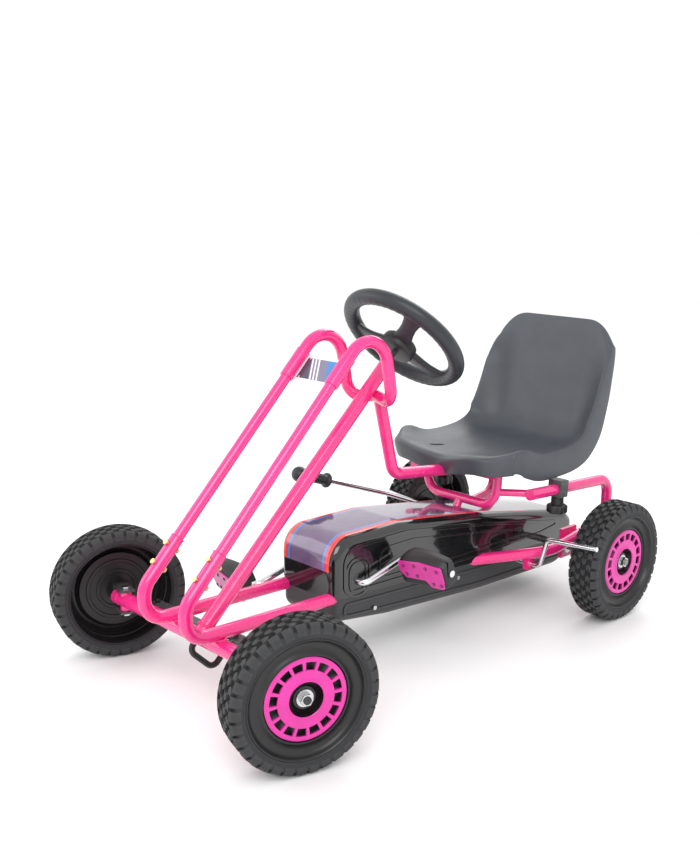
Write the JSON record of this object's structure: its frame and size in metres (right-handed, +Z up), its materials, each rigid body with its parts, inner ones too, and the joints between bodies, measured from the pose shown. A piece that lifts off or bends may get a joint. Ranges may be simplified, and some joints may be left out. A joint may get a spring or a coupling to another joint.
{
  "type": "pedal go kart",
  "caption": "Four-wheeled pedal go kart with a bent-tube frame, bucket seat, covered chain drive, steering wheel and hand brake.",
  "frame": {"origin": "on the floor, under the middle of the front axle", "axes": "+Z up, -Y forward, +X to the driver's left"},
  "size_m": [0.6428, 1.0603, 0.6397],
  "materials": {
    "frame_paint": "gloss",
    "cap_plastic": "gloss",
    "tyre": "matt tread",
    "rim_plastic": "satin",
    "black_metal": "satin",
    "zinc": "zinc plated",
    "steel": "oiled",
    "chrome": "polished",
    "plug_plastic": "matt",
    "cover_gloss": "gloss",
    "cover_satin": "satin",
    "seat_plastic": "fine grain",
    "wheel_grip": "satin",
    "grip": "satin",
    "pedal_plastic": "satin",
    "knob_plastic": "satin",
    "emblem": "gloss"
  },
  "bodies": {
    "frame": {"front_axle_beam": "frame_paint", "kingpin_bushes": "frame_paint", "frame_rail_left": "frame_paint", "frame_rail_right": "frame_paint", "upper_tube_left": "frame_paint", "upper_tube_right": "frame_paint", "steering_loop": "frame_paint", "steering_column": "frame_paint", "column_bush": "plug_plastic", "seat_tube": "frame_paint", "seat_support": "frame_paint", "emblem_plate": "emblem", "sleeve_bolts": "zinc", "tube_plugs": "plug_plastic", "bearing_plates": "frame_paint", "axle_bearings": "zinc", "crank_saddles": "frame_paint", "brake_brackets": "frame_paint", "chain_cover_upper": "cover_gloss", "chain_cover_lower": "cover_satin", "cover_screws": "zinc", "chain": "steel"},
    "knuckle_left": {"steering_knuckle_left": "black_metal", "kingpin_bolt_left": "zinc", "front_left_nut": "zinc"},
    "knuckle_right": {"steering_knuckle_right": "black_metal", "kingpin_bolt_right": "zinc", "front_right_nut": "zinc"},
    "front_wheel_left": {"front_left_tyre": "tyre", "front_left_rim": "rim_plastic", "front_left_cap": "cap_plastic"},
    "front_wheel_right": {"front_right_tyre": "tyre", "front_right_rim": "rim_plastic", "front_right_cap": "cap_plastic"},
    "rear_axle": {"rear_axle": "steel", "rear_sprocket": "steel", "rear_axle_nuts": "zinc", "rear_left_tyre": "tyre", "rear_left_rim": "rim_plastic", "rear_left_cap": "cap_plastic", "rear_right_tyre": "tyre", "rear_right_rim": "rim_plastic", "rear_right_cap": "cap_plastic"},
    "crank": {"pedal_crank": "chrome", "chainring": "steel"},
    "pedal_left": {"pedal_left": "pedal_plastic", "pedal_plate_left": "cap_plastic"},
    "pedal_right": {"pedal_right": "pedal_plastic", "pedal_plate_right": "cap_plastic"},
    "tie_bar": {"tie_bar": "black_metal"},
    "steering": {"steering_shaft": "black_metal", "steering_wheel": "wheel_grip", "wheel_bolt": "cap_plastic"},
    "brake": {"brake_shaft": "chrome", "brake_lever": "chrome", "brake_grip": "grip"},
    "seat": {"seat_shell": "seat_plastic", "seat_clamps": "black_metal"},
    "knob_left": {"seat_knob_left": "knob_plastic"},
    "knob_right": {"seat_knob_right": "knob_plastic"}
  },
  "joints": [
    {"name": "steer_left", "type": "hinge", "parent": "frame", "child": "knuckle_left", "pos_m": [0.212, 0, 0.114], "axis": [0, 0, 1], "range_deg": [-8, 42]},
    {"name": "steer_right", "type": "hinge", "parent": "frame", "child": "knuckle_right", "pos_m": [-0.212, 0, 0.114], "axis": [0, 0, 1], "range_deg": [-8.5, 42.5]},
    {"name": "tie_bar_pivot", "type": "hinge", "parent": "knuckle_left", "child": "tie_bar", "pos_m": [0.22808, 0.0526, 0.099], "axis": [0, 0, 1], "range_deg": [-42.5, 8.5]},
    {"name": "steering_turn", "type": "hinge", "parent": "frame", "child": "steering", "pos_m": [0, 0.45478, 0.54708], "axis": [0, 0.7242, 0.6896], "range_deg": [-10, 47]},
    {"name": "front_left_spin", "type": "hinge", "parent": "knuckle_left", "child": "front_wheel_left", "pos_m": [0.26077, -0.01491, 0.115], "axis": [0.9563, -0.2924, 0], "continuous": true},
    {"name": "front_right_spin", "type": "hinge", "parent": "knuckle_right", "child": "front_wheel_right", "pos_m": [-0.26077, 0.01491, 0.115], "axis": [0.9563, -0.2924, 0], "continuous": true},
    {"name": "rear_axle_spin", "type": "hinge", "parent": "frame", "child": "rear_axle", "pos_m": [0, 0.8025, 0.115], "axis": [1, 0, 0], "continuous": true},
    {"name": "crank_spin", "type": "hinge", "parent": "frame", "child": "crank", "pos_m": [0, 0.281, 0.153], "axis": [1, 0, 0], "continuous": true},
    {"name": "pedal_left_spin", "type": "hinge", "parent": "crank", "child": "pedal_left", "pos_m": [0.148, 0.37803, 0.17719], "axis": [1, 0, 0], "continuous": true},
    {"name": "pedal_right_spin", "type": "hinge", "parent": "crank", "child": "pedal_right", "pos_m": [-0.148, 0.18397, 0.12881], "axis": [1, 0, 0], "continuous": true},
    {"name": "brake_pull", "type": "hinge", "parent": "frame", "child": "brake", "pos_m": [0, 0.69, 0.102], "axis": [-1, 0, 0], "range_deg": [0, 2]},
    {"name": "seat_slide", "type": "slide", "parent": "frame", "child": "seat", "axis": [0, 0.9984, -0.0558], "range_m": [-0.04, 0.03]},
    {"name": "knob_left_turn", "type": "hinge", "parent": "seat", "child": "knob_left", "pos_m": [0.148, 0.7405, 0.22], "axis": [0, 0, 1], "continuous": true},
    {"name": "knob_right_turn", "type": "hinge", "parent": "seat", "child": "knob_right", "pos_m": [-0.148, 0.7405, 0.22], "axis": [0, 0, 1], "continuous": true}
  ],
  "couplings": [
    {"joint": "steer_right", "follows": "steer_left", "ratio": 1},
    {"joint": "tie_bar_pivot", "follows": "steer_left", "ratio": -1},
    {"joint": "steering_turn", "follows": "steer_left", "ratio": 1.0846},
    {"joint": "crank_spin", "follows": "rear_axle_spin", "ratio": 0.70833}
  ]
}
